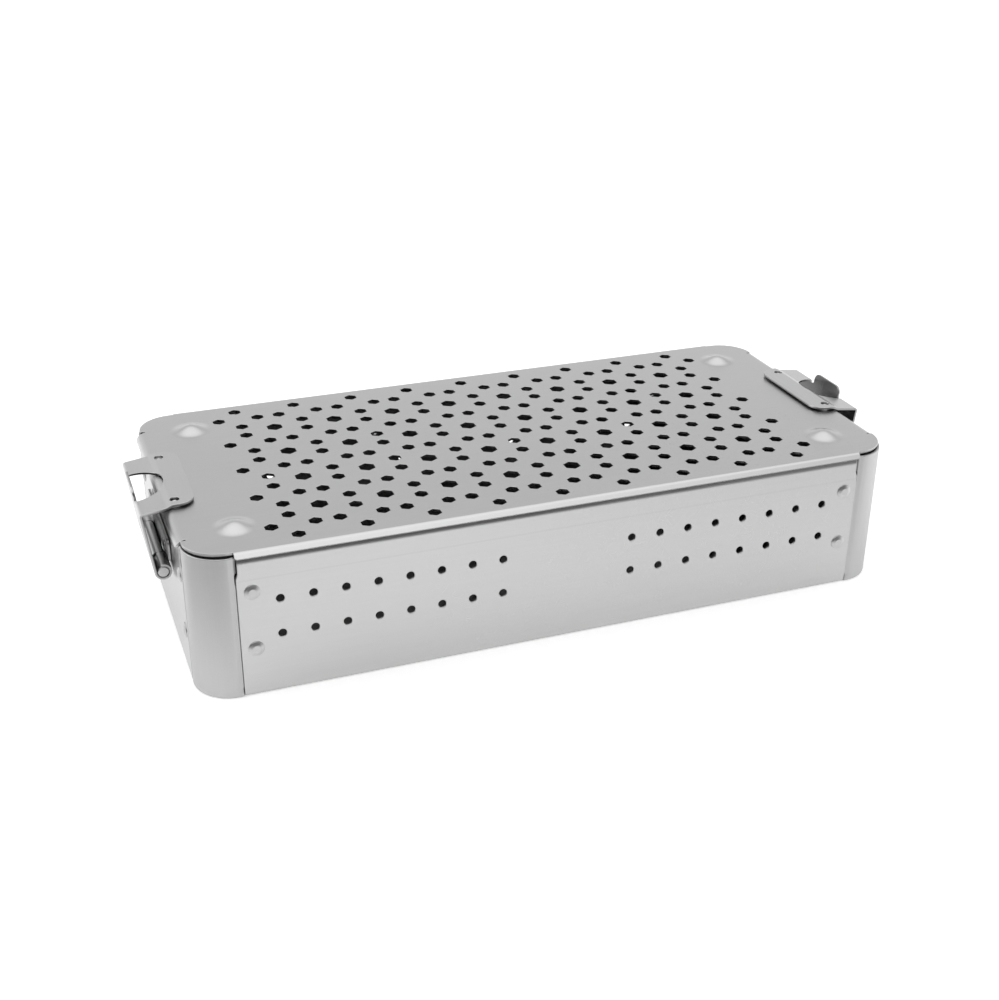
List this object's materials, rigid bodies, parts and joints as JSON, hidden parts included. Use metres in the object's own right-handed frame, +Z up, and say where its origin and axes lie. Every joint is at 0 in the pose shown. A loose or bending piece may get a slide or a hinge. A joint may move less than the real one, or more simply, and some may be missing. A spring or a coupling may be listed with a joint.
{
  "type": "surgical instrument container",
  "caption": "Low rectangular sheet-metal container with rounded riveted corners, a lid pierced with hexagonal holes, and a hinged spring latch at each end that clips over the lid.",
  "frame": {"origin": "centre of the container's bounding box in plan, at the level of the base that it stands on", "axes": "+X along the container's length towards the right latch, +Y towards the back, +Z up through the lid"},
  "size_m": [0.2536, 0.1118, 0.0517],
  "materials": {
    "tray_sheet": "fine satin",
    "lid_sheet": "fine satin",
    "bracket_sheet": "fine satin",
    "latch_sheet": "fine satin",
    "fastener": "satin"
  },
  "bodies": {
    "tray": {"tray_pan": "tray_sheet", "corner_back_right": "tray_sheet", "corner_back_left": "tray_sheet", "corner_front_left": "tray_sheet", "corner_front_right": "tray_sheet", "rivet_front_left_side_lower": "fastener", "rivet_front_left_side_upper": "fastener", "rivet_front_left_end_lower": "fastener", "rivet_front_left_end_upper": "fastener", "rivet_front_right_side_lower": "fastener", "rivet_front_right_side_upper": "fastener", "rivet_front_right_end_lower": "fastener", "rivet_front_right_end_upper": "fastener", "rivet_back_left_side_lower": "fastener", "rivet_back_left_side_upper": "fastener", "rivet_back_left_end_lower": "fastener", "rivet_back_left_end_upper": "fastener", "rivet_back_right_side_lower": "fastener", "rivet_back_right_side_upper": "fastener", "rivet_back_right_end_lower": "fastener", "rivet_back_right_end_upper": "fastener", "hinge_bracket_right": "bracket_sheet", "hinge_bracket_left": "bracket_sheet", "hinge_pin_right": "fastener", "hinge_pin_left": "fastener", "bracket_rivet_right_front": "fastener", "bracket_rivet_right_back": "fastener", "bracket_rivet_left_front": "fastener", "bracket_rivet_left_back": "fastener"},
    "lid": {"lid_panel": "lid_sheet"},
    "right_latch": {"latch_right": "latch_sheet"},
    "left_latch": {"latch_left": "latch_sheet"}
  },
  "joints": [
    {"name": "lid_lift", "type": "slide", "parent": "tray", "child": "lid", "axis": [0, 0, 1], "range_m": [0, 0.011]},
    {"name": "right_latch_swing", "type": "hinge", "parent": "tray", "child": "right_latch", "pos_m": [0.12098, 0, 0.028], "axis": [0, 1, 0], "range_deg": [0, 130]},
    {"name": "left_latch_swing", "type": "hinge", "parent": "tray", "child": "left_latch", "pos_m": [-0.12098, 0, 0.028], "axis": [0, -1, 0], "range_deg": [0, 130]}
  ],
  "couplings": [
    {"joint": "right_latch_swing", "follows": "lid_lift", "rad_per_m": 206.2},
    {"joint": "left_latch_swing", "follows": "lid_lift", "rad_per_m": 206.2}
  ]
}
